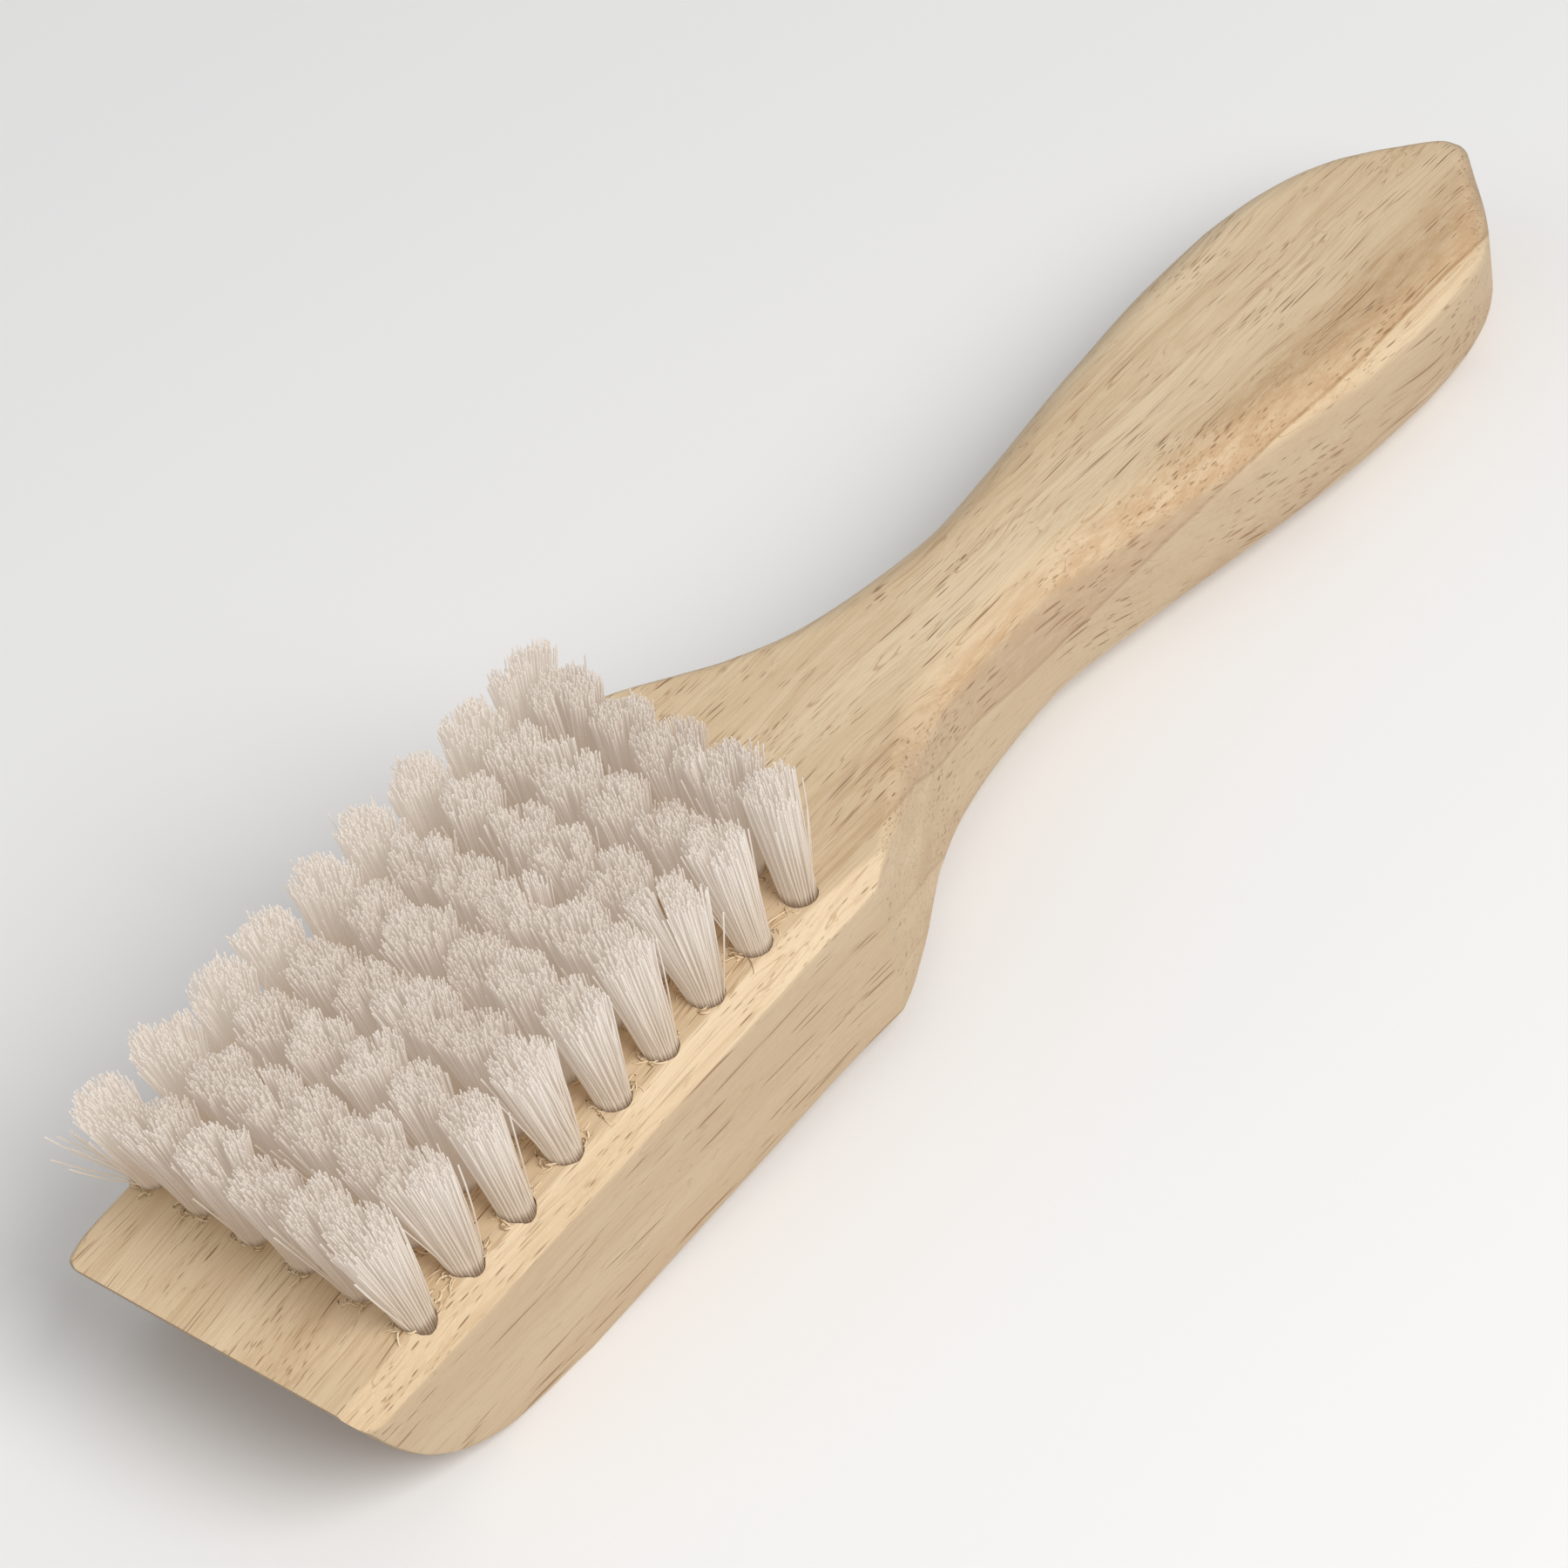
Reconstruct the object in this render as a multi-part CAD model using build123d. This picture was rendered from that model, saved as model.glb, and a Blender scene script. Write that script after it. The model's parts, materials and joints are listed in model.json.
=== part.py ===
"""Wooden scrubbing brush with a long handle, lying on its back with the bristles up.

Everything is first drawn in the head's own frame: x runs from the front edge of the head to the end of the
handle, y across it, and z is 0 on the flat face that carries the bristles. At the end every piece is turned
by the same angle and lifted, so that the brush rests on the heel of its head and on the end of its handle.
"""

import os
from math import atan, cos, degrees, sin, sqrt

from build123d import *

os.makedirs("parts", exist_ok=True)

# ---------------------------------------------------------------- driving dimensions, millimetres
HEAD_THICKNESS = 20.7
HEAD_BLOCK_END = 62.0            # the head is a plain flat block up to here
SHOULDER_START = 76.0            # the side walls run straight up to here
HANDLE_END = 208.0
HEAD_HALF_WIDTH_FRONT = 19.5
HEAD_TAPER = 0.017               # growth of the half width per millimetre of length
NEAR_CORNER_RADIUS = 3.0         # front corners, seen from above
FAR_CORNER_RADIUS = 6.5
BACK_FLAT_START = 28.0           # where the swept-up front of the back ends
SMALL_EDGE_RADIUS = 0.8
MOST_ROUND = 0.45                # an edge radius is at most this share of the local thickness
BACK_PLANING = 0.02              # skimmed off the back of the block, which leaves it flat

BEVEL_WIDTH = 2.3                # on the face
BEVEL_DROP = 3.1                 # on the side wall
BEVEL_END = 92.0

FACE_DROP_RATE = 0.154           # how fast the handle's top falls below the head's face
HANDLE_THINNING = 0.05           # loss of thickness per millimetre of handle
BEND_START = HEAD_BLOCK_END
BEND_LENGTH = 22.0
THINNING_START = 80.0

# The swept-up front of the back, in side view: x from the front edge, z below the face.
FRONT_SWEEP = [(0.0, 0.0), (2.2, -5.1), (4.5, -9.4), (7.0, -12.9), (11.0, -16.5), (17.5, -19.4),
               (BACK_FLAT_START, -HEAD_THICKNESS)]
FRONT_START = 0.15               # the sharp front edge is blunted back to here
FRONT_STATIONS = 18

# Plan of the shoulder and the handle: x and half width.
PLAN = [
    (SHOULDER_START, HEAD_HALF_WIDTH_FRONT + HEAD_TAPER * SHOULDER_START), (78.4, 20.0), (81.6, 18.6),
    (85.0, 17.0), (89.1, 14.8), (93.6, 12.5), (101.4, 10.1), (109.0, 9.0), (120.0, 8.4), (133.0, 9.9),
    (152.0, 12.9), (170.0, 15.0), (178.0, 15.2), (186.0, 14.6), (192.0, 13.3), (197.0, 11.0),
    (200.5, 8.3), (203.6, 5.3), (206.0, 3.0), (207.2, 1.9), (HANDLE_END, 1.2),
]
# Rounding of the four long edges: x and radius.
ROUNDING = [(SHOULDER_START, 0.8), (82.0, 1.1), (92.0, 1.6), (104.0, 3.2), (130.0, 4.8), (160.0, 5.2),
            (190.0, 4.6), (203.0, 3.0), (206.0, 2.0), (HANDLE_END, 1.0)]
# Rounding off of the end in side view: x and share of the full thickness.
END_SHARE = [(SHOULDER_START, 1.0), (198.0, 1.0), (204.0, 0.99), (206.0, 0.95), (207.2, 0.88),
             (HANDLE_END, 0.75)]
STATION_SPACING = 3.0            # between cross sections of the handle
SHOULDER_SPACING = 1.3           # the same where the shoulder turns in
SHOULDER_END = 86.0
TIP_START = 198.0

ROWS = 9
COLUMNS = 6
ROW_PITCH = 7.25
COLUMN_PITCH = 6.5
FIRST_ROW = 12.5                 # from the front edge
HOLE_RADIUS = 1.85
HOLE_DEPTH = 9.5

TUFT_CLEARANCE = 0.03
TUFT_LENGTH = 13.2               # above the face
TUFT_TIP_RADIUS = 2.95
TUFT_LEAN_ALONG = 1.5            # how far the tips of the first and last rows stand out
NEAR_COLUMN_LEAN = 2.2           # how far the tips of the first column are brushed towards +Y
FAR_COLUMN_LEAN = 0.3            # the same for the last column
FOLD_HEIGHT = 1.0                # bristle folded under its anchor

ANCHOR_LENGTH = 5.0
ANCHOR_HEIGHT = 1.6
ANCHOR_THICKNESS = 0.35
ANCHOR_GAP = 0.03
ANCHOR_CENTRE = -HOLE_DEPTH + FOLD_HEIGHT + ANCHOR_HEIGHT / 2
MEASURING_STEP = 0.05            # between places where the outer size is worked out


# ---------------------------------------------------------------- shape of the handle
def smooth(points, x):
    """Value at x of a smooth curve through the points that never overshoots them."""
    last = len(points) - 1
    rises = [(y1 - y0) / (x1 - x0) for (x0, y0), (x1, y1) in zip(points, points[1:])]

    def slope(i):
        if i in (0, last):
            return rises[0] if i == 0 else rises[-1]
        before, after = rises[i - 1], rises[i]
        return 2 * before * after / (before + after) if before * after > 0 else 0.0

    i = sum(x > p[0] for p in points[1:-1])
    (x0, y0), (x1, y1) = points[i], points[i + 1]
    span = x1 - x0
    t = (x - x0) / span
    return (
        (2 * t**3 - 3 * t**2 + 1) * y0
        + (t**3 - 2 * t**2 + t) * span * slope(i)
        + (3 * t**2 - 2 * t**3) * y1
        + (t**3 - t**2) * span * slope(i + 1)
    )


def bend(x):
    """Length of handle that has turned down at x, with a soft start over BEND_LENGTH."""
    run = max(x - BEND_START, 0.0)
    if run < BEND_LENGTH:
        return run * run / (2 * BEND_LENGTH)
    return run - BEND_LENGTH / 2


def top_z(x):
    return -FACE_DROP_RATE * bend(x)


def thickness(x):
    return HEAD_THICKNESS - HANDLE_THINNING * max(x - THINNING_START, 0.0)


def half_width(x):
    """Half the width at x: rounded front corners, tapered head, then the plan of the handle."""
    if x >= SHOULDER_START:
        return smooth(PLAN, x)
    wall = HEAD_HALF_WIDTH_FRONT + HEAD_TAPER * x
    to_corner = max(NEAR_CORNER_RADIUS - x, 0.0)
    return wall - NEAR_CORNER_RADIUS + sqrt(NEAR_CORNER_RADIUS**2 - to_corner**2)


def bottom_z(x):
    """Height of the underside at x."""
    if x < BACK_FLAT_START:
        return smooth(FRONT_SWEEP, x)
    if x < SHOULDER_START:
        return top_z(x) - HEAD_THICKNESS
    return top_z(x) - thickness(x) * (1 + smooth(END_SHARE, x)) / 2


def highest_z(x):
    """Height of the upper side at x, rounded off at the end of the handle."""
    if x < SHOULDER_START:
        return top_z(x)
    return top_z(x) - thickness(x) * (1 - smooth(END_SHARE, x)) / 2


def edge_radius(x):
    if x >= SHOULDER_START:
        return smooth(ROUNDING, x)
    return min(SMALL_EDGE_RADIUS, -MOST_ROUND * bottom_z(x))


def section(x):
    """Rounded rectangle across the brush at x."""
    low, high = bottom_z(x), highest_z(x)
    plane = Plane(origin=(x, 0, (low + high) / 2), x_dir=(0, 1, 0), z_dir=(1, 0, 0))
    return plane * RectangleRounded(2 * half_width(x), high - low, edge_radius(x))


def evenly(start, end, spacing):
    """Places from start towards end, without the end itself."""
    count = max(1, round((end - start) / spacing))
    return [start + (end - start) * i / count for i in range(count)]


def body_stretches():
    """Places of the cross sections, one list for each stretch that is lofted on its own."""
    front_run = BACK_FLAT_START - FRONT_START
    yield [FRONT_START + front_run * (i / FRONT_STATIONS) ** 2 for i in range(FRONT_STATIONS + 1)]
    yield [BACK_FLAT_START, HEAD_BLOCK_END]
    yield evenly(HEAD_BLOCK_END, SHOULDER_START, STATION_SPACING) + [SHOULDER_START]
    yield (
        evenly(SHOULDER_START, SHOULDER_END, SHOULDER_SPACING)
        + evenly(SHOULDER_END, TIP_START, STATION_SPACING)
        + evenly(TIP_START, HANDLE_END, SHOULDER_SPACING)
        + [HANDLE_END]
    )


def bevel_cutter(side):
    """Everything outside the sloping bevel of one long edge of the head; side is +1 or -1."""
    start = (0, side * (HEAD_HALF_WIDTH_FRONT - BEVEL_WIDTH), 0)
    along = (1, side * HEAD_TAPER, 0)
    outward = (0, side * BEVEL_DROP, BEVEL_WIDTH)
    plane = Plane(origin=start, x_dir=along, z_dir=outward)
    margin = 10
    across = 2 * HEAD_HALF_WIDTH_FRONT
    cutter = Box(BEVEL_END + margin, across, HEAD_THICKNESS, align=(Align.MIN, Align.CENTER, Align.MIN))
    return plane * Pos(-margin, 0, 0) * cutter


def far_corner_cutter():
    """What sanding took off the far front corner, beyond the rounding that both front corners have."""
    centre_y = HEAD_HALF_WIDTH_FRONT + HEAD_TAPER * FAR_CORNER_RADIUS - FAR_CORNER_RADIUS
    margin = 2
    side = FAR_CORNER_RADIUS + margin
    height = 3 * HEAD_THICKNESS
    block = Box(side, side, height, align=(Align.MAX, Align.MIN, Align.CENTER))
    return Pos(FAR_CORNER_RADIUS, centre_y, 0) * (block - Cylinder(FAR_CORNER_RADIUS, height))


def planing_cutter():
    """What is skimmed off the back of the block."""
    run = HEAD_BLOCK_END - BACK_FLAT_START
    skim = Box(run, 3 * HEAD_HALF_WIDTH_FRONT, HEAD_THICKNESS, align=(Align.MIN, Align.CENTER, Align.MAX))
    return Pos(BACK_FLAT_START, 0, BACK_PLANING - HEAD_THICKNESS) * skim


def hole_places():
    """Row, column and centre of each hole on the face, front row first."""
    for row in range(ROWS):
        for column in range(COLUMNS):
            x = FIRST_ROW + row * ROW_PITCH
            y = (column - (COLUMNS - 1) / 2) * COLUMN_PITCH
            yield row, column, x, y, top_z(x)


def anchor_box(grow):
    """The flat wire of one anchor around its own centre, enlarged by grow for its pocket."""
    return Box(ANCHOR_LENGTH + 2 * grow, ANCHOR_THICKNESS + 2 * grow, ANCHOR_HEIGHT + 2 * grow)


def tuft(row, column):
    """One bundle of bristles as a closed solid: root in its hole, then flaring to the trimmed tips."""
    root_radius = HOLE_RADIUS - TUFT_CLEARANCE
    root_length = HOLE_DEPTH - TUFT_CLEARANCE
    along = TUFT_LEAN_ALONG * (2 * row / (ROWS - 1) - 1) ** 3
    across = NEAR_COLUMN_LEAN + (FAR_COLUMN_LEAN - NEAR_COLUMN_LEAN) * column / (COLUMNS - 1)
    root = Cylinder(root_radius, root_length, align=(Align.CENTER, Align.CENTER, Align.MAX))
    tip = Pos(along, across, TUFT_LENGTH) * Circle(TUFT_TIP_RADIUS)
    bundle = root + loft([Circle(root_radius).face(), tip.face()])
    return bundle - Pos(0, 0, ANCHOR_CENTRE) * anchor_box(ANCHOR_GAP)


# ---------------------------------------------------------------- pieces in the head's frame
places = list(hole_places())
stretches = [loft([section(x) for x in stations]) for stations in body_stretches()]
body = stretches[0] + stretches[1:]
body = body - bevel_cutter(1) - bevel_cutter(-1) - far_corner_cutter() - planing_cutter()
drill = Cylinder(HOLE_RADIUS, 2 * HOLE_DEPTH)
pocket = anchor_box(ANCHOR_GAP)
cutters = [Pos(x, y, z) * drill for _, _, x, y, z in places]
cutters += [Pos(x, y, z + ANCHOR_CENTRE) * pocket for _, _, x, y, z in places]
body = body - cutters


# ---------------------------------------------------------------- rest pose
def rest_slope():
    """Slope of the line from the heel of the head to the lowest part of the handle."""
    return max(
        (-HEAD_THICKNESS - bottom_z(x)) / (x - BACK_FLAT_START)
        for x in evenly(SHOULDER_END, HANDLE_END, MEASURING_STEP)
    )


tilt = atan(rest_slope())
tip_places = evenly(TIP_START, HANDLE_END, MEASURING_STEP) + [HANDLE_END]
front_reach = FRONT_START * cos(tilt)
tip_reach = max(x * cos(tilt) - bottom_z(x) * sin(tilt) for x in tip_places)
heel_height = BACK_FLAT_START * sin(tilt) - HEAD_THICKNESS * cos(tilt)
place = Pos(-(front_reach + tip_reach) / 2, 0, -heel_height) * Rot(0, -degrees(tilt), 0)

export_step(place * body, "parts/handle_body.step")
for row, column, x, y, z in places:
    export_step(place * Pos(x, y, z) * tuft(row, column), f"parts/tuft_r{row + 1}_c{column + 1}.step")
anchor = anchor_box(0)
anchors = [place * Pos(x, y, z + ANCHOR_CENTRE) * anchor for _, _, x, y, z in places]
export_step(Compound(children=anchors), "parts/anchor_staples.step")
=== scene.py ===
"""Wooden hand brush with short nylon tufts, lying on its back: the looks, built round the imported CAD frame.

Shapes are worked out in millimetres in the head's own frame: x runs from the front edge of the head to the
end of the handle, y across it, and z is 0 on the face that carries the bristles. The record's mount on the
back of the head says where that frame lies, so every piece is carried to its place by one matrix.
"""

import json
import random
from math import asin, cos, pi, radians, sin, sqrt, tau

import bpy
from mathutils import Matrix, Vector, noise


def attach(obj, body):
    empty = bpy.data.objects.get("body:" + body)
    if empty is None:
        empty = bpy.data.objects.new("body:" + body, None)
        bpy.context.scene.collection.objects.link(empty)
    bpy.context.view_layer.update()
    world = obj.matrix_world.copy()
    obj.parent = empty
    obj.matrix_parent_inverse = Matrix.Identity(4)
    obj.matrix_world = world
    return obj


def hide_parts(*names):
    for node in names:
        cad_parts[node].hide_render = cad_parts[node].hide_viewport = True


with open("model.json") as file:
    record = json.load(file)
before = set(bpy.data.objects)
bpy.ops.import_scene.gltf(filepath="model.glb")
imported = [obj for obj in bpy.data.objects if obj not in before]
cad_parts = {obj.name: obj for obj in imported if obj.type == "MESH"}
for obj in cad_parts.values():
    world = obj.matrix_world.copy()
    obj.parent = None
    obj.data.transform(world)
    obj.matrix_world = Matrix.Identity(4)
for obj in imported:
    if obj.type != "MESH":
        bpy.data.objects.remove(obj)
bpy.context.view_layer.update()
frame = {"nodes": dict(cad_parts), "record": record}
MM = 0.001

# ---------------------------------------------------------------- driving dimensions, millimetres
HEAD_THICKNESS = 20.7
BACK_PLANING = 0.02
BACK_FLAT_START = 28.0
HEAD_BLOCK_END = 62.0
SHOULDER_START = 76.0
HANDLE_END = 208.0
FRONT_START = 0.15
HEAD_HALF_WIDTH_FRONT = 19.5
HEAD_TAPER = 0.017
# Front corners seen from above: radius of the wall, and how far back the edge of the face starts to turn in.
NEAR_CORNER = (3.0, 0.0)
FAR_CORNER = (5.5, 6.0)
FACE_TURN_IN = 0.03              # it turns in by this times the square of the distance from that start
SMALL_EDGE_RADIUS = 0.8
SAND_RADIUS = 0.35               # what sanding leaves on an edge of the bevel
BEVEL_WIDTH = 2.3
BEVEL_DROP = 3.1
FACE_DROP_RATE = 0.154           # how fast the handle's top falls below the head's face
HANDLE_THINNING = 0.05           # loss of thickness per millimetre of handle
BEND_LENGTH = 22.0
THINNING_START = 80.0

# The swept-up front of the back in side view: x from the front edge, z below the face.
FRONT_SWEEP = [(0.0, 0.0), (2.2, -5.1), (4.5, -9.4), (7.0, -12.9), (11.0, -16.5), (17.5, -19.4),
               (BACK_FLAT_START, -HEAD_THICKNESS)]
# Plan of the shoulder and the handle: x and half width.
PLAN = [
    (SHOULDER_START, HEAD_HALF_WIDTH_FRONT + HEAD_TAPER * SHOULDER_START), (78.4, 20.0), (81.6, 18.6),
    (85.0, 17.0), (89.1, 14.8), (93.6, 12.5), (101.4, 10.1), (109.0, 9.0), (120.0, 8.4), (133.0, 9.9),
    (152.0, 12.9), (170.0, 15.0), (178.0, 15.2), (186.0, 14.6), (192.0, 13.3), (197.0, 11.0),
    (200.5, 8.3), (203.6, 5.3), (206.0, 3.0), (207.2, 1.9), (HANDLE_END, 1.2),
]
# Rounding of the long edges of the underside and of the top: x and radius.
ROUNDING = [(SHOULDER_START, 0.8), (82.0, 1.1), (92.0, 1.6), (104.0, 3.2), (130.0, 4.8), (160.0, 5.2),
            (190.0, 4.6), (203.0, 3.0), (206.0, 2.0), (HANDLE_END, 1.0)]
TOP_ROUNDING = [(SHOULDER_START, 0.8), (82.0, 1.4), (92.0, 2.8), (104.0, 4.4), (130.0, 5.4), (160.0, 5.4),
                (190.0, 4.6), (203.0, 3.0), (206.0, 2.0), (HANDLE_END, 1.0)]
# Rounding off of the end in side view: x and share of the full thickness.
END_SHARE = [(SHOULDER_START, 1.0), (198.0, 1.0), (204.0, 0.99), (206.0, 0.95), (207.2, 0.88),
             (HANDLE_END, 0.75)]

ROWS = 9
COLUMNS = 6
ROW_PITCH = 7.25
COLUMN_PITCH = 6.5
FIRST_ROW = 12.5
HOLE_RADIUS = 1.85
HOLE_DEPTH = 9.5
HOLE_SCATTER = 0.16              # how far the drill wanders
HOLE_UNEVENNESS = 0.012          # how far the holes are out of round, as a share of their radius
DRILL_SIDES = 40
DRILL_STANDS_OUT = 3.0           # above the face

FILAMENT_RADIUS = 0.092
FILAMENTS = 320                  # in one tuft
FILAMENT_GAP = 0.03              # between the outer filaments and the wall of the hole
CLUMPS = 7                       # groups of filaments that lean together
CLUMP_REACH = 0.68               # how far from the middle of the hole the outer clumps sit, as a share
CLUMP_LEAN = 0.42                # spread of the clumps' leans, at the tips
CLUMP_RISE = 0.34                # spread of the clumps' lengths
LEAN_SCATTER = (0.45, 0.4)       # of whole tufts, along and across
LENGTH_SCATTER = 0.35            # of whole tufts
TIP_SCATTER = 0.16               # of single filaments, sideways and in length
BOW = 0.35                       # how far a filament bows out
STRAY_SHARE = 0.05               # share of the filaments that stand out of their clump
EDGE_WEAR = 0.8                  # how much shorter the outer filaments are
TUFT_LENGTH = 13.2               # above the face
TUFT_TIP_RADIUS = 3.5
TUFT_LEAN_ALONG = 1.5            # how far the tips of the first and last rows stand out
NEAR_COLUMN_LEAN = 2.2           # how far the tips of the first column are brushed towards +Y
FAR_COLUMN_LEAN = 0.3            # the same for the last column
SPLAYED = {(0, 5): 9, (2, 5): 6, (4, 5): 2}      # filaments bent right out of a tuft, by (row, column)

# ---------------------------------------------------------------- where the head's frame lies
mount = frame["record"]["mounts"][0]
TILT = asin(mount["axis"][0])
turn = Matrix.Rotation(-TILT, 4, "Y")
mount_place = Vector(((BACK_FLAT_START + HEAD_BLOCK_END) / 2, 0, BACK_PLANING - HEAD_THICKNESS)) * MM
HEAD_FRAME = Matrix.Translation(Vector(mount["pos_m"]) - turn @ mount_place) @ turn
FROM_HEAD = HEAD_FRAME @ Matrix.Scale(MM, 4)     # the head's frame, in millimetres, to the row's, in metres


def new_object(name, vertices, faces, material, smooth_faces=True, carry=FROM_HEAD):
    """A mesh object; its points are given in the head's frame unless carry says otherwise."""
    mesh = bpy.data.meshes.new(name)
    mesh.from_pydata(vertices, [], faces)
    mesh.transform(carry)
    mesh.update()
    mesh.polygons.foreach_set("use_smooth", [smooth_faces] * len(mesh.polygons))
    if material:
        mesh.materials.append(material)
    obj = bpy.data.objects.new(name, mesh)
    bpy.context.scene.collection.objects.link(obj)
    return obj


# ---------------------------------------------------------------- shape of the wood
def smooth(points, x):
    """Value at x of a smooth curve through the points that never overshoots them."""
    last = len(points) - 1
    rises = [(y1 - y0) / (x1 - x0) for (x0, y0), (x1, y1) in zip(points, points[1:])]

    def slope(i):
        if i in (0, last):
            return rises[0] if i == 0 else rises[-1]
        before, after = rises[i - 1], rises[i]
        return 2 * before * after / (before + after) if before * after > 0 else 0.0

    i = sum(x > p[0] for p in points[1:-1])
    (x0, y0), (x1, y1) = points[i], points[i + 1]
    span = x1 - x0
    t = (x - x0) / span
    return (
        (2 * t**3 - 3 * t**2 + 1) * y0
        + (t**3 - 2 * t**2 + t) * span * slope(i)
        + (3 * t**2 - 2 * t**3) * y1
        + (t**3 - t**2) * span * slope(i + 1)
    )


def top_z(x):
    run = max(x - HEAD_BLOCK_END, 0.0)
    bend = run * run / (2 * BEND_LENGTH) if run < BEND_LENGTH else run - BEND_LENGTH / 2
    return -FACE_DROP_RATE * bend


def thickness(x):
    return HEAD_THICKNESS - HANDLE_THINNING * max(x - THINNING_START, 0.0)


def bottom_z(x):
    if x < BACK_FLAT_START:
        return smooth(FRONT_SWEEP, x)
    if x < SHOULDER_START:
        return top_z(x) - HEAD_THICKNESS
    return top_z(x) - thickness(x) * (1 + smooth(END_SHARE, x)) / 2


def highest_z(x):
    if x < SHOULDER_START:
        return top_z(x)
    return top_z(x) - thickness(x) * (1 - smooth(END_SHARE, x)) / 2


def half_width(x, corner):
    """Half the width at x on the side that has that front corner."""
    if x >= SHOULDER_START:
        return smooth(PLAN, x)
    wall = HEAD_HALF_WIDTH_FRONT + HEAD_TAPER * x
    radius = corner[0]
    to_corner = max(radius - x, 0.0)
    return wall - radius + sqrt(radius**2 - to_corner**2)


def edge_radius(rounding, x):
    return smooth(rounding, x) if x >= SHOULDER_START else SMALL_EDGE_RADIUS


OCTAGON_CUT = 2 - sqrt(2)        # corner cut of a regular octagon, as a share of the radius of its arc
FILL_STEPS = [14, 3, 8, 3, 14]   # points on each flat stretch of half a section, from the top down
ROUND_STEPS = 6                  # points on each rounded corner between them


def half_corners(x, corner):
    """Corners of one half of the section at x, from the top middle down to the bottom middle."""
    wide, high, low = half_width(x, corner), highest_z(x), bottom_z(x)
    thick = high - low
    radius = min(edge_radius(TOP_ROUNDING, x), 0.48 * thick, 0.8 * wide)
    low_radius = min(edge_radius(ROUNDING, x), radius)
    slope = BEVEL_WIDTH / BEVEL_DROP
    turn_in = FACE_TURN_IN * max(corner[1] - x, 0.0) ** 2
    crease = HEAD_HALF_WIDTH_FRONT - BEVEL_WIDTH + HEAD_TAPER * x - high * slope - turn_in
    bevel = max(wide - crease, 0.0)
    cut_in = max(bevel, OCTAGON_CUT * radius)
    cut_down = min(max(bevel / slope, OCTAGON_CUT * radius), 0.98 * thick)
    lower_wide = min(wide, crease + thick * slope)
    foot = min(OCTAGON_CUT * low_radius, 0.45 * (thick - cut_down))
    corners = [
        Vector((wide - cut_in, high)), Vector((lower_wide, high - cut_down)),
        Vector((lower_wide, low + foot)), Vector((lower_wide - foot, low)),
    ]
    soft = max(SAND_RADIUS, (1 - OCTAGON_CUT) * radius)
    return Vector((0.0, high)), corners, Vector((0.0, low)), soft


def half_section(x, corner):
    """Evenly counted points of one half of the section at x, top middle to bottom middle."""
    first, corners, last, soft = half_corners(x, corner)
    chain = [first] + corners + [last]
    points = []
    leave = first
    for i, edge in enumerate(corners):
        before, after = chain[i], chain[i + 2]
        trim_in = min(soft, 0.47 * (edge - before).length)
        trim_out = min(soft, 0.47 * (after - edge).length)
        enter = edge + (before - edge).normalized() * trim_in
        exit_point = edge + (after - edge).normalized() * trim_out
        for k in range(FILL_STEPS[i]):
            points.append(leave.lerp(enter, k / FILL_STEPS[i]))
        for k in range(ROUND_STEPS):
            t = k / ROUND_STEPS
            points.append(enter.lerp(edge, t).lerp(edge.lerp(exit_point, t), t))
        leave = exit_point
    for k in range(FILL_STEPS[-1] + 1):
        points.append(leave.lerp(last, k / FILL_STEPS[-1]))
    return points


def ring(x):
    """The whole section at x as a closed ring of points (x, y, z)."""
    far = [(x, p.x, p.y) for p in half_section(x, FAR_CORNER)]
    near = [(x, -p.x, p.y) for p in half_section(x, NEAR_CORNER)[-2:0:-1]]
    return far + near


FRONT_STEPS = 34
CLOSE_SPACING = 0.4              # between sections at the shoulder and the tip
WIDE_SPACING = 1.0               # between sections elsewhere
SHOULDER = (74.0, 90.0)
TIP_START = 198.0


def stations():
    """Where the sections are: close together at the front edge, at the shoulder and at the tip."""
    places = []
    for i in range(FRONT_STEPS):
        places.append(FRONT_START + (BACK_FLAT_START - FRONT_START) * (i / FRONT_STEPS) ** 1.7)
    x = BACK_FLAT_START
    while x < HANDLE_END - CLOSE_SPACING / 2:
        places.append(x)
        close = SHOULDER[0] < x < SHOULDER[1] or x > TIP_START
        x += CLOSE_SPACING if close else WIDE_SPACING
    places.append(HANDLE_END)
    return places


def hole_places():
    """Row, column and centre of each hole, with the small wander of the drill."""
    chance = random.Random(11)
    for row in range(ROWS):
        for column in range(COLUMNS):
            x = FIRST_ROW + row * ROW_PITCH + chance.uniform(-HOLE_SCATTER, HOLE_SCATTER)
            y = (column - (COLUMNS - 1) / 2) * COLUMN_PITCH + chance.uniform(-HOLE_SCATTER, HOLE_SCATTER)
            yield row, column, x, y


# Waves that hand sanding leaves: how deep, how many per millimetre along and across, and a shift.
SANDING_WAVES = [(0.10, 0.055, 0.11, 0.0), (0.035, 0.21, 0.35, 7.0)]


def hand_sanded(point):
    """A point of the surface moved by the waves of the sanding; the machined face stays flat."""
    x, y, z = point
    push = 0.0
    for depth, along, across, shift in SANDING_WAVES:
        push += depth * noise.noise(Vector((x * along + shift, y * across, z * across)))
    if x < HEAD_BLOCK_END and abs(z) < 0.01:
        push = 0.0
    radial = Vector((0.0, y, z + HEAD_THICKNESS / 2 - top_z(x))).normalized()
    return Vector(point) + radial * push


# The last sections round the end off: share of the width, share of the height, how far ahead.
END_CAPS = [(0.78, 0.94, 0.18), (0.42, 0.85, 0.32)]


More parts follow.
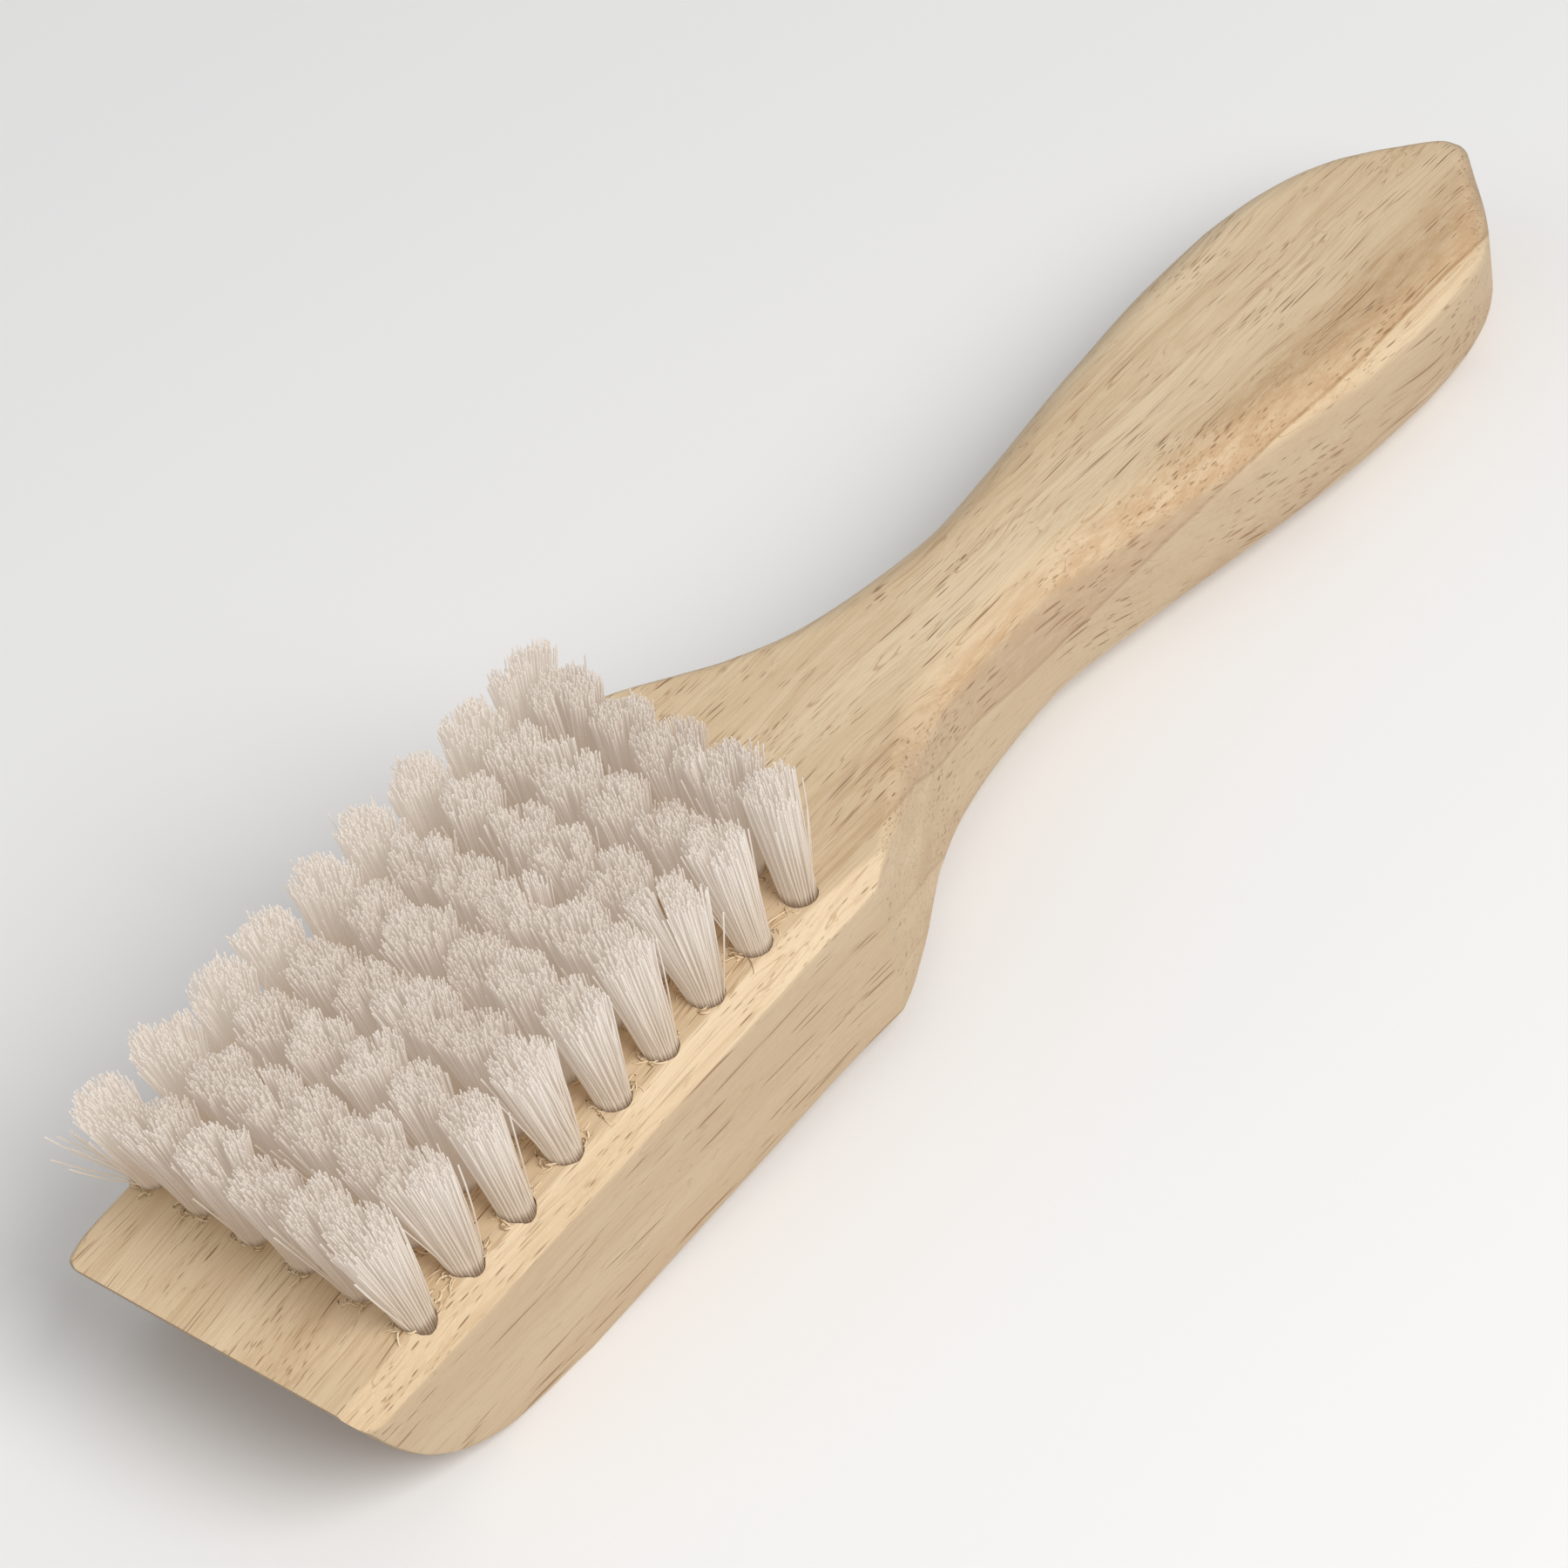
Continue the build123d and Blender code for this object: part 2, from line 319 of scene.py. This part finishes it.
def wood_body(material):
    """The block and handle in one piece, lofted through its sections and drilled."""
    rings = [ring(x) for x in stations()]
    count = len(rings[0])
    middle_z = (highest_z(HANDLE_END) + bottom_z(HANDLE_END)) / 2
    for width_share, height_share, ahead in END_CAPS:
        last = [(HANDLE_END + ahead, y * width_share, middle_z + (z - middle_z) * height_share)
                for _, y, z in ring(HANDLE_END)]
        rings.append(last)
    vertices = [hand_sanded(p) for r in rings for p in r]
    faces = []
    for i in range(len(rings) - 1):
        for k in range(count):
            n = (k + 1) % count
            faces.append((i * count + k, i * count + n, (i + 1) * count + n, (i + 1) * count + k))
    faces.append(tuple(range(count - 1, -1, -1)))
    end = (len(rings) - 1) * count
    faces.append(tuple(range(end, end + count)))
    body = new_object("wooden_body", vertices, faces, material)
    drill_holes(body)
    return body


def drill_holes(body):
    """Cuts the blind holes, each a little out of round."""
    chance = random.Random(12)
    sides = DRILL_SIDES
    vertices, faces = [], []
    for _, _, x, y in hole_places():
        base = len(vertices)
        top = top_z(x)
        bumps = [1 + chance.uniform(-HOLE_UNEVENNESS, HOLE_UNEVENNESS) for _ in range(sides)]
        for z in (top + DRILL_STANDS_OUT, top - HOLE_DEPTH):
            for k in range(sides):
                angle = tau * k / sides
                r = HOLE_RADIUS * bumps[k]
                vertices.append((x + r * cos(angle), y + r * sin(angle), z))
        for k in range(sides):
            n = (k + 1) % sides
            faces.append((base + n, base + k, base + sides + k, base + sides + n))
        faces.append(tuple(base + k for k in range(sides)))
        faces.append(tuple(base + sides + k for k in range(sides - 1, -1, -1)))
    cutter = new_object("drill", vertices, faces, None)
    cut = body.modifiers.new("holes", "BOOLEAN")
    cut.operation = "DIFFERENCE"
    cut.solver = "EXACT"
    cut.object = cutter
    graph = bpy.context.evaluated_depsgraph_get()
    cut_mesh = bpy.data.meshes.new_from_object(body.evaluated_get(graph))
    body.modifiers.clear()
    body.data = cut_mesh
    bpy.data.objects.remove(cutter)
    cut_mesh.polygons.foreach_set("use_smooth", [True] * len(cut_mesh.polygons))
    cut_mesh.set_sharp_from_angle(angle=radians(40))


# ---------------------------------------------------------------- tufts
FILAMENT_SIDES = 4
FILAMENT_STEPS = 4               # along the part above the face


def filament(path, radius, vertices, faces, knob=1.02):
    """Adds one filament along the path: a thin tube whose cut end is rounded and knob times as thick."""
    sides = FILAMENT_SIDES
    base = len(vertices)
    count = len(path)
    rings = []
    for i, point in enumerate(path):
        ahead = path[min(i + 1, count - 1)] - path[max(i - 1, 0)]
        rings.append((point, ahead.normalized(), radius))
    tip, along, _ = rings[-1]
    rings[-1] = (tip - along * radius * 3.0, along, radius)
    rings.append((tip - along * radius * 1.2, along, radius * knob))
    rings.append((tip, along, radius * knob * 0.62))
    for point, along, r in rings:
        across = along.cross(Vector((0.31, 0.87, 0.11))).normalized()
        up = along.cross(across)
        for k in range(sides):
            angle = tau * k / sides
            vertices.append(point + across * (r * cos(angle)) + up * (r * sin(angle)))
    for i in range(len(rings) - 1):
        for k in range(sides):
            n = (k + 1) % sides
            a = base + i * sides
            faces.append((a + k, a + n, a + sides + n, a + sides + k))
    last = base + (len(rings) - 1) * sides
    faces.append(tuple(last + k for k in range(sides)))
    faces.append(tuple(base + k for k in range(sides - 1, -1, -1)))


def filament_path(root, spread, bow, length, base):
    """Path of one filament from inside its hole to its tip, which stands off from the root by spread."""
    points = [Vector((root.x, root.y, base - 2.6)), Vector((root.x, root.y, base - 0.5))]
    for i in range(1, FILAMENT_STEPS + 1):
        t = i / FILAMENT_STEPS
        side = bow * (t * (1 - t))
        points.append(Vector((root.x + spread.x * t, root.y + spread.y * t, base + length * t)) + side)
    return points


def clump_centres(chance):
    """Where each clump of filaments sits in the hole, how it leans and how much longer it is."""
    clumps = []
    for k in range(CLUMPS):
        angle = tau * (k + chance.uniform(-0.3, 0.3)) / (CLUMPS - 1)
        reach = HOLE_RADIUS * (CLUMP_REACH if k else 0.0)
        place = Vector((reach * cos(angle), reach * sin(angle), 0))
        lean = Vector((chance.gauss(0, CLUMP_LEAN), chance.gauss(0, CLUMP_LEAN), 0))
        clumps.append((place, lean, chance.gauss(0, CLUMP_RISE)))
    return clumps


def tuft(row, column, x, y, material):
    """One bundle of filaments that flares from its hole, with clumps, strays and a worn edge."""
    chance = random.Random(1000 + row * 17 + column)
    along = TUFT_LEAN_ALONG * (2 * row / (ROWS - 1) - 1) ** 3
    across = NEAR_COLUMN_LEAN + (FAR_COLUMN_LEAN - NEAR_COLUMN_LEAN) * column / (COLUMNS - 1)
    along += chance.uniform(-LEAN_SCATTER[0], LEAN_SCATTER[0])
    across += chance.uniform(-LEAN_SCATTER[1], LEAN_SCATTER[1])
    lean = Vector((along, across, 0))
    whole = TUFT_LENGTH + chance.uniform(-LENGTH_SCATTER, LENGTH_SCATTER)
    base = top_z(x)
    vertices, faces = [], []
    golden = pi * (3 - sqrt(5))
    phase = chance.uniform(0, tau)
    widen = TUFT_TIP_RADIUS / HOLE_RADIUS * chance.uniform(0.93, 1.07) - 1
    clumps = clump_centres(chance)
    for k in range(FILAMENTS):
        share = sqrt((k + 0.5) / FILAMENTS)
        angle = phase + k * golden
        reach = (HOLE_RADIUS - FILAMENT_RADIUS - FILAMENT_GAP) * share
        out = Vector((cos(angle), sin(angle), 0)) * reach
        _, clump_lean, clump_rise = min(clumps, key=lambda c: (c[0] - out).length)
        stray = chance.random() < STRAY_SHARE
        factor = widen + chance.gauss(0, 0.07) + (chance.uniform(0.3, 0.8) if stray else 0.0)
        jitter = Vector((chance.gauss(0, TIP_SCATTER), chance.gauss(0, TIP_SCATTER), 0))
        spread = out * factor + lean + clump_lean + jitter
        bow = Vector((chance.gauss(0, BOW), chance.gauss(0, BOW), 0))
        length = whole + clump_rise + chance.gauss(0, TIP_SCATTER) - EDGE_WEAR * share**3
        if stray:
            length -= chance.uniform(0.2, 1.8)
        path = filament_path(Vector((x, y, 0)) + out, spread, bow, length, base)
        filament(path, FILAMENT_RADIUS * chance.uniform(0.9, 1.1), vertices, faces)
    for _ in range(SPLAYED.get((row, column), 0)):
        root = Vector((x - 1.2, y + chance.uniform(-0.6, 1.2), 0))
        spread = Vector((chance.uniform(-5.6, -2.6), chance.uniform(2.2, 4.6), 0))
        bow = Vector((chance.gauss(0, 1.0), chance.gauss(0, 1.0), 0))
        path = filament_path(root, spread, bow, chance.uniform(6.5, 10.5), base)
        filament(path, FILAMENT_RADIUS, vertices, faces)
    name = f"bristles_r{row + 1}_c{column + 1}"
    return new_object(name, vertices, faces, material)


# ---------------------------------------------------------------- torn fibres at the holes
FIBRES_AT_HOLE = (24, 36)
FIBRE_RADIUS = (0.06, 0.13)
FIBRE_STEP = (0.18, 0.48)        # length of each of its steps
FIBRE_STEPS = 6


def torn_fibres(material):
    """Fine curled fibres that the drill left at the rims of the holes."""
    chance = random.Random(77)
    vertices, faces = [], []
    for _, _, x, y in hole_places():
        for _ in range(chance.randint(*FIBRES_AT_HOLE)):
            side = chance.choice((0, pi)) + chance.gauss(0, 0.75)
            angle = side if chance.random() < 0.8 else chance.uniform(0, tau)
            r = HOLE_RADIUS * chance.uniform(0.98, 1.08)
            start = Vector((x + r * cos(angle), y + r * sin(angle), top_z(x) - 0.05))
            if abs(start.y) > HEAD_HALF_WIDTH_FRONT - BEVEL_WIDTH - 0.3:
                continue
            heading = angle + chance.gauss(0, 0.8)
            turn_rate = chance.uniform(-1.1, 1.1)
            rise = chance.uniform(0.1, 0.7)
            size = chance.uniform(*FIBRE_STEP)
            path = []
            place = start.copy()
            for i in range(FIBRE_STEPS):
                path.append(place.copy())
                heading += turn_rate
                lift = rise * cos(i * 0.9)
                place = place + Vector((size * cos(heading), size * sin(heading), lift * size))
            filament(path, chance.uniform(*FIBRE_RADIUS), vertices, faces, knob=0.6)
    return new_object("torn_fibres", vertices, faces, material)


# ---------------------------------------------------------------- materials
class Nodes:
    """Small helper that adds nodes to a material and links them."""

    def __init__(self, name):
        self.material = bpy.data.materials.new(name)
        self.material.use_nodes = True
        self.tree = self.material.node_tree
        self.shader = self.tree.nodes["Principled BSDF"]

    def add(self, kind, inputs=None, **settings):
        node = self.tree.nodes.new(kind)
        for key, value in settings.items():
            setattr(node, key, value)
        for key, value in (inputs or {}).items():
            self.put(node.inputs[key], value)
        return node

    def put(self, socket, value):
        if isinstance(value, bpy.types.NodeSocket):
            self.tree.links.new(value, socket)
        else:
            socket.default_value = value

    def math(self, operation, a, b=0.0, c=0.0):
        node = self.add("ShaderNodeMath", operation=operation)
        for socket, value in zip(node.inputs, (a, b, c)):
            self.put(socket, value)
        return node.outputs[0]

    def ramp(self, value, low, high, start=0.0, end=1.0):
        """Value mapped smoothly from low..high to start..end, clamped."""
        node = self.add("ShaderNodeMapRange", interpolation_type="SMOOTHSTEP")
        for key, given in (("Value", value), ("From Min", low), ("From Max", high),
                           ("To Min", start), ("To Max", end)):
            self.put(node.inputs[key], given)
        return node.outputs[0]

    def mix(self, factor, a, b, blend="MIX"):
        node = self.add("ShaderNodeMix", data_type="RGBA", blend_type=blend)
        self.put(node.inputs["Factor"], factor)
        self.put(node.inputs["A"], a)
        self.put(node.inputs["B"], b)
        return node.outputs["Result"]

    def stain(self, base, mask, strength, tone):
        """The base colour with the tone laid over it where the mask says, at that strength."""
        return self.mix(self.math("MULTIPLY", mask, strength), base, tone)

    def vector(self, operation, a, b):
        node = self.add("ShaderNodeVectorMath", {0: a, 1: b}, operation=operation)
        return node.outputs["Value" if operation == "DOT_PRODUCT" else "Vector"]

    def facing(self, axis):
        """How squarely the surface faces along the axis, 0 to 1."""
        normal = self.add("ShaderNodeNewGeometry").outputs["Normal"]
        return self.math("ABSOLUTE", self.vector("DOT_PRODUCT", normal, axis))

    def stretched(self, point, scale, shift=(0, 0, 0)):
        node = self.add("ShaderNodeMapping", {"Vector": point, "Scale": scale, "Location": shift})
        return node.outputs[0]

    def turned(self, point, angles):
        node = self.add("ShaderNodeVectorRotate", {"Vector": point, "Rotation": tuple(angles)},
                        rotation_type="EULER_XYZ")
        return node.outputs[0]

    def noise(self, point, scale=1.0, detail=2.0, roughness=0.5):
        node = self.add("ShaderNodeTexNoise", {"Vector": point, "Scale": scale, "Detail": detail,
                                               "Roughness": roughness})
        return node.outputs["Fac"]


def head_point(n):
    """The shaded point in the head's frame, in millimetres."""
    place = n.add("ShaderNodeTexCoord").outputs["Object"]
    moved = n.vector("ADD", place, tuple(-HEAD_FRAME.translation))
    turned = n.turned(moved, HEAD_FRAME.inverted().to_euler())
    scaled = n.add("ShaderNodeVectorMath", {0: turned, "Scale": 1 / MM}, operation="SCALE")
    return scaled.outputs[0]


def colour(red, green, blue):
    """A display colour, 0 to 255, as the linear colour that shaders use."""
    def linear(v):
        v /= 255
        return v / 12.92 if v <= 0.04045 else ((v + 0.055) / 1.055) ** 2.4
    return (linear(red), linear(green), linear(blue), 1.0)


# The grain runs nearly along the brush, swinging a little across it and down through it, and follows the
# handle's bend. Growth rings are shells that hold the grain direction; each is (where its dark border lies,
# how wide its brown band is, how strong it is).
GRAIN_SWING = 0.05
GRAIN_DIVE = 0.03
GRAIN_SWAY = 2.6                 # how far it wanders from that, in millimetres
WALL_SWING = 0.027               # how fast the vessels of the side walls run outwards, on both sides
ACROSS_RINGS = (0.0873, 1.0, 0.772)
RING_START = 10.9
GROWTH_RINGS = [(0.0, 11.0, 1.0), (-9.6, 4.5, 0.75), (-14.7, 3.5, 0.7), (-21.0, 5.0, 0.5), (16.0, 8.0, 0.3),
                (27.0, 9.0, 0.35)]

# Families of open vessels: size of the cell that may hold one, its length, the share of the cells with one,
# its radius, how dark it is, and a shift that sets the family apart.
VESSELS = [(0.24, 28.0, 0.82, 0.060, 0.75, 3.1), (0.40, 32.0, 0.76, 0.096, 0.95, 11.7)]
WALL_VESSELS = [(0.42, 30.0, 0.86, 0.12, 0.8, 9.1), (0.80, 26.0, 0.78, 0.20, 0.8, 5.3)]


def along_grain(n, place, sway):
    """The point in a frame that follows the grain, and in one that follows the side walls."""
    split = n.add("ShaderNodeSeparateXYZ", {"Vector": place})
    x, y, z = split.outputs
    run = n.math("MAXIMUM", n.math("SUBTRACT", x, HEAD_BLOCK_END), 0.0)
    bent = n.math("MINIMUM", run, BEND_LENGTH)
    straight = n.math("SUBTRACT", run, bent)
    bend = n.math("MULTIPLY_ADD", n.math("MULTIPLY", bent, bent), 0.5 / BEND_LENGTH, straight)
    down = n.math("MULTIPLY_ADD", bend, FACE_DROP_RATE, n.math("MULTIPLY_ADD", x, GRAIN_DIVE, z))
    frames = []
    for side in (n.math("MULTIPLY_ADD", x, -GRAIN_SWING, y),
                 n.math("MULTIPLY_ADD", x, -WALL_SWING, n.math("ABSOLUTE", y))):
        joined = n.add("ShaderNodeCombineXYZ", {"X": x, "Y": side, "Z": down}).outputs[0]
        frames.append(n.vector("ADD", joined, sway))
    return frames


def pores(n, grain, streaks, cell, length, share, radius, seed):
    """Mask of the open vessels: long thin ellipsoids along the grain, in some cells of a grid."""
    point = n.stretched(grain, (1 / length, 1 / cell, 1 / cell), (seed, seed * 0.7, seed * 1.3))
    cells = n.add("ShaderNodeTexVoronoi", {"Vector": point, "Scale": 1.0, "Randomness": 0.9})
    chance = n.add("ShaderNodeSeparateColor", {"Color": cells.outputs["Color"]}).outputs[0]
    depth = n.ramp(n.math("SUBTRACT", n.math("MULTIPLY", streaks, share), chance), 0.0, 0.35, 0.0, 1.0)
    inside = n.ramp(cells.outputs["Distance"], radius / cell, 0.5 * radius / cell)
    return n.math("MULTIPLY", depth, inside)


def vessels(n, grain, crowd, families):
    """Mask of several families of open vessels together."""
    dark = 0.0
    for cell, length, share, radius, strength, seed in families:
        mask = pores(n, grain, crowd, cell, length, share, radius, seed)
        dark = n.math("MAXIMUM", dark, n.math("MULTIPLY", mask, strength))
    return dark


def growth_rings(n, place, wander):
    """Masks of the brown bands and of the dark borders of the growth rings."""
    shell = n.vector("DOT_PRODUCT", place, ACROSS_RINGS)
    depth = n.math("ADD", n.math("ADD", shell, RING_START), wander)
    bands, borders = 0.0, 0.0
    for border, width, strength in GROWTH_RINGS:
        past = n.math("SUBTRACT", depth, border)
        band = n.math("MULTIPLY", n.ramp(past, -0.25, 0.1), n.ramp(past, width, 0.5 * width))
        bands = n.math("MULTIPLY_ADD", band, strength, bands)
        off = n.math("ABSOLUTE", n.math("SUBTRACT", past, 0.1))
        borders = n.math("MULTIPLY_ADD", n.ramp(off, 0.42, 0.0), strength, borders)
    # the rings show more on the handle than on the block
    run = n.add("ShaderNodeSeparateXYZ", {"Vector": place}).outputs["X"]
    showing = n.ramp(run, 66.0, 104.0, 0.25, 1.0)
    return n.math("MULTIPLY", bands, showing), n.math("MULTIPLY", borders, showing)


def rubberwood():
    """Pale rubberwood, sanded bare: open vessels as short brown dashes, soft streaks, brown growth rings."""
    n = Nodes("rubberwood")
    place = head_point(n)
    drift = n.add("ShaderNodeTexNoise", {"Vector": n.stretched(place, (0.008, 0.03, 0.03)), "Detail": 1.0})
    sway = n.vector("ADD", drift.outputs["Color"], (-0.5, -0.5, -0.5))
    sway = n.vector("MULTIPLY", sway, (0.0, GRAIN_SWAY, GRAIN_SWAY))
    grain, wall_grain = along_grain(n, place, sway)

    bands, borders = growth_rings(n, place, n.math("MULTIPLY_ADD", drift.outputs["Fac"], 2.4, -1.2))
    broad = n.noise(n.stretched(grain, (0.010, 0.16, 0.16)), detail=2.0)
    streak = n.noise(n.stretched(grain, (0.028, 1.5, 1.5)), detail=3.0, roughness=0.6)
    fibre = n.noise(n.stretched(grain, (0.09, 5.0, 5.0)), detail=3.0, roughness=0.6)
    fleck = n.noise(n.stretched(grain, (1.5, 5.5, 1.2)), detail=1.0)
    contour = n.noise(n.stretched(grain, (0.012, 0.6, 0.6)), detail=1.0)
    broken = n.noise(n.stretched(grain, (0.12, 1.0, 1.0)), detail=1.0)
    mottle = n.noise(n.stretched(grain, (0.22, 0.9, 0.9)), detail=3.0, roughness=0.6)

    light = colour(224, 202, 169)
    warm = colour(211, 186, 151)
    brown = colour(190, 156, 118)
    streak_tone = colour(188, 156, 118)
    fibre_tone = colour(184, 152, 114)
    fleck_tone = colour(232, 214, 180)
    line_tone = colour(170, 134, 94)
    border_tone = colour(158, 122, 80)
    end_tone = colour(164, 141, 115)
    side_grain_and_painted_shade = colour(178, 156, 130)
    vessel_tone = colour(144, 110, 76)

    base = n.mix(n.ramp(broad, 0.35, 0.65), warm, light)
    base = n.stain(base, bands, n.ramp(mottle, 0.36, 0.62, 0.40, 0.85), brown)
    base = n.stain(base, n.ramp(streak, 0.5, 0.36), 0.28, streak_tone)
    base = n.stain(base, n.ramp(fibre, 0.52, 0.36), 0.20, fibre_tone)
    base = n.stain(base, n.ramp(fleck, 0.56, 0.7), 0.14, fleck_tone)
    # fine brown lines, like contour lines of a slow noise drawn out along the grain
    off_line = n.math("PINGPONG", n.math("MULTIPLY", contour, 9.0), 0.5)
    line = n.math("MULTIPLY", n.ramp(off_line, 0.085, 0.02), n.ramp(broken, 0.42, 0.54))
    base = n.stain(base, line, 0.5, line_tone)
    base = n.stain(base, borders, n.ramp(fibre, 0.62, 0.4, 0.35, 0.75), border_tone)
    # end grain drinks up light: where the surface faces along the grain it is darker and warmer
    end_grain = n.ramp(n.facing(tuple(HEAD_FRAME.to_3x3() @ Vector((1, 0, 0)))), 0.25, 0.85)
    base = n.stain(base, end_grain, 0.95, end_tone)
    # painted shade: the side walls are painted darker and greyer than the face, for the light that reaches
    # them less, and partly for the side grain's own tone
    side_face = n.ramp(n.facing((0.0, 1.0, 0.0)), 0.84, 0.96)
    base = n.stain(base, side_face, 0.60, side_grain_and_painted_shade)

    crowd = n.math("ADD", n.ramp(streak, 0.6, 0.4, 0.35, 1.0), n.math("MULTIPLY", bands, 0.4))
    # the side walls have vessels of their own, which lie nearly in the surface and show as long lines
    choices = {0: side_face, 2: vessels(n, grain, crowd, VESSELS),
               3: vessels(n, wall_grain, crowd, WALL_VESSELS)}
    dark = n.add("ShaderNodeMix", choices, data_type="FLOAT").outputs[0]
    base = n.mix(dark, base, vessel_tone)
    n.put(n.shader.inputs["Base Color"], base)

    n.put(n.shader.inputs["Roughness"], n.ramp(fibre, 0.3, 0.7, 0.68, 0.56))
    n.shader.inputs["Specular IOR Level"].default_value = 0.3
    relief = n.math("MULTIPLY_ADD", fibre, 0.05, n.math("MULTIPLY", dark, -0.16))
    relief = n.math("MULTIPLY_ADD", streak, 0.03, relief)
    bump = n.add("ShaderNodeBump", {"Height": relief, "Distance": 1.0 * MM, "Strength": 0.5})
    n.put(n.shader.inputs["Normal"], bump.outputs[0])
    return n.material


def torn_wood():
    """The pale loose fibres round the holes."""
    n = Nodes("torn_wood")
    tone = n.noise(head_point(n), scale=1.4)
    n.put(n.shader.inputs["Base Color"], n.mix(tone, colour(220, 194, 156), colour(240, 222, 190)))
    n.put(n.shader.inputs["Roughness"], n.ramp(tone, 0.3, 0.7, 0.6, 0.75))
    return n.material


def nylon():
    """Translucent white nylon, with painted shade that darkens and browns it towards the wood and in the
    middle of the field, and a painted glow for the light that soaks through the bundle.
    """
    n = Nodes("nylon")
    place = head_point(n)
    _, offset, height = n.add("ShaderNodeSeparateXYZ", {"Vector": place}).outputs
    tone = n.noise(n.stretched(place, (2.2, 2.2, 0.10)), detail=2.0)
    # painted shade: the filaments are painted brown near the face, where the hole and the bundle shade them,
    # and lighten to white towards the tips
    low = n.mix(n.ramp(height, -0.4, 1.1), colour(152, 126, 100), colour(217, 199, 177))
    height_painted_shade = n.mix(n.ramp(height, 1.0, 12.0), low, colour(239, 230, 219))
    shade = n.mix(n.ramp(tone, 0.35, 0.65, 0.0, 0.18), height_painted_shade, colour(214, 198, 180))
    # painted shade: away from the long sides of the field, and below the tips, where the bundles shade one
    # another, the filaments are painted browner
    across = n.math("ABSOLUTE", offset)
    inside = n.math("MULTIPLY", n.ramp(across, 18.0, 11.0), n.ramp(height, 15.0, 10.0))
    painted_shade_base = n.mix(n.math("MULTIPLY", inside, 0.55), shade, colour(176, 150, 126))
    # the base colour is dimmed to leave room for the painted glow below
    n.put(n.shader.inputs["Base Color"], n.mix(1.0, painted_shade_base, colour(206, 206, 208), "MULTIPLY"))
    n.put(n.shader.inputs["Roughness"], n.ramp(tone, 0.3, 0.7, 0.5, 0.38))
    n.shader.inputs["IOR"].default_value = 1.5
    n.shader.inputs["Specular IOR Level"].default_value = 0.4
    # painted glow: emission stands for the light that soaks from filament to filament; less of it is painted
    # where the painted shade inside the field lies
    painted_glow = n.mix(n.math("MULTIPLY", inside, 0.30), shade, colour(190, 164, 138))
    n.put(n.shader.inputs["Emission Color"], painted_glow)
    n.shader.inputs["Emission Strength"].default_value = 0.36
    return n.material


def drawn_steel():
    """Flat drawn wire: fine lines along it and a dull lustre."""
    n = Nodes("staple_wire")
    place = head_point(n)
    lines = n.noise(n.stretched(place, (0.4, 9.0, 9.0)), detail=3.0)
    n.put(n.shader.inputs["Base Color"], n.mix(lines, colour(150, 147, 140), colour(196, 193, 186)))
    n.shader.inputs["Metallic"].default_value = 1.0
    n.put(n.shader.inputs["Roughness"], n.ramp(lines, 0.3, 0.7, 0.32, 0.48))
    return n.material


# ---------------------------------------------------------------- floor, light, camera
def floor():
    """The pale floor."""
    n = Nodes("floor_white")
    tone = n.noise(n.add("ShaderNodeTexCoord").outputs["Object"], scale=3.0)
    n.put(n.shader.inputs["Base Color"], n.mix(tone, (0.86, 0.86, 0.86, 1), (0.88, 0.88, 0.88, 1)))
    n.shader.inputs["Roughness"].default_value = 0.9
    size = 4.0
    corners = [(-size, -size, 0), (size, -size, 0), (size, size, 0), (-size, size, 0)]
    new_object("floor", corners, [(0, 1, 2, 3)], n.material, smooth_faces=False, carry=Matrix())


def area_light(name, place, target, size, power, tint):
    data = bpy.data.lights.new(name, "AREA")
    data.shape = "DISK"
    data.size = size
    data.energy = power
    data.color = tint
    lamp = bpy.data.objects.new(name, data)
    lamp.location = place
    lamp.rotation_euler = (Vector(target) - Vector(place)).to_track_quat("-Z", "Y").to_euler()
    bpy.context.scene.collection.objects.link(lamp)


def studio():
    """Even white surroundings, a large key light in front and a weak fill light behind."""
    world = bpy.data.worlds.new("studio")
    world.use_nodes = True
    world.node_tree.nodes["Background"].inputs["Color"].default_value = (1.0, 1.0, 1.0, 1)
    world.node_tree.nodes["Background"].inputs["Strength"].default_value = 0.43
    bpy.context.scene.world = world
    bpy.context.scene.view_settings.view_transform = "Standard"
    middle = (0.0, 0.0, 0.015)
    area_light("key", (-0.03, -0.68, 0.74), middle, 0.75, 7.9, (1.0, 0.99, 0.98))
    area_light("fill", (-0.7, 0.35, 0.6), middle, 0.8, 0.8, (0.97, 0.985, 1.0))


# The camera in the head's frame: its place in millimetres, and the directions of its own axes.
CAMERA_PLACE = (-173.3, -281.2, 400.9)
CAMERA_RIGHT = (0.59835, -0.78531, -0.15895)
CAMERA_UP = (0.65376, 0.36383, 0.66350)
CAMERA_BACK = (-0.46322, -0.50092, 0.73110)


def camera():
    data = bpy.data.cameras.new("camera")
    data.sensor_width = 36.0
    data.lens = 130.0
    data.clip_start = 0.01
    obj = bpy.data.objects.new("camera", data)
    axes = Matrix((CAMERA_RIGHT, CAMERA_UP, CAMERA_BACK)).transposed().to_4x4()
    pose = HEAD_FRAME @ Matrix.Translation(Vector(CAMERA_PLACE) * MM) @ axes
    obj.matrix_world = pose
    bpy.context.scene.collection.objects.link(obj)
    bpy.context.scene.camera = obj


# ---------------------------------------------------------------- the whole brush
wood = rubberwood()
loose_wood = torn_wood()
hair = nylon()

body = wood_body(wood)
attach(body, "root")
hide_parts("handle_body")

for row, column, x, y in hole_places():
    bundle = tuft(row, column, x, y, hair)
    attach(bundle, "root")
    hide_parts(f"tuft_r{row + 1}_c{column + 1}")

fibres = torn_fibres(loose_wood)
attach(fibres, "root")

wire = drawn_steel()
for place in frame["nodes"]["anchor_staples"].material_slots:
    place.material = wire

floor()
studio()
camera()
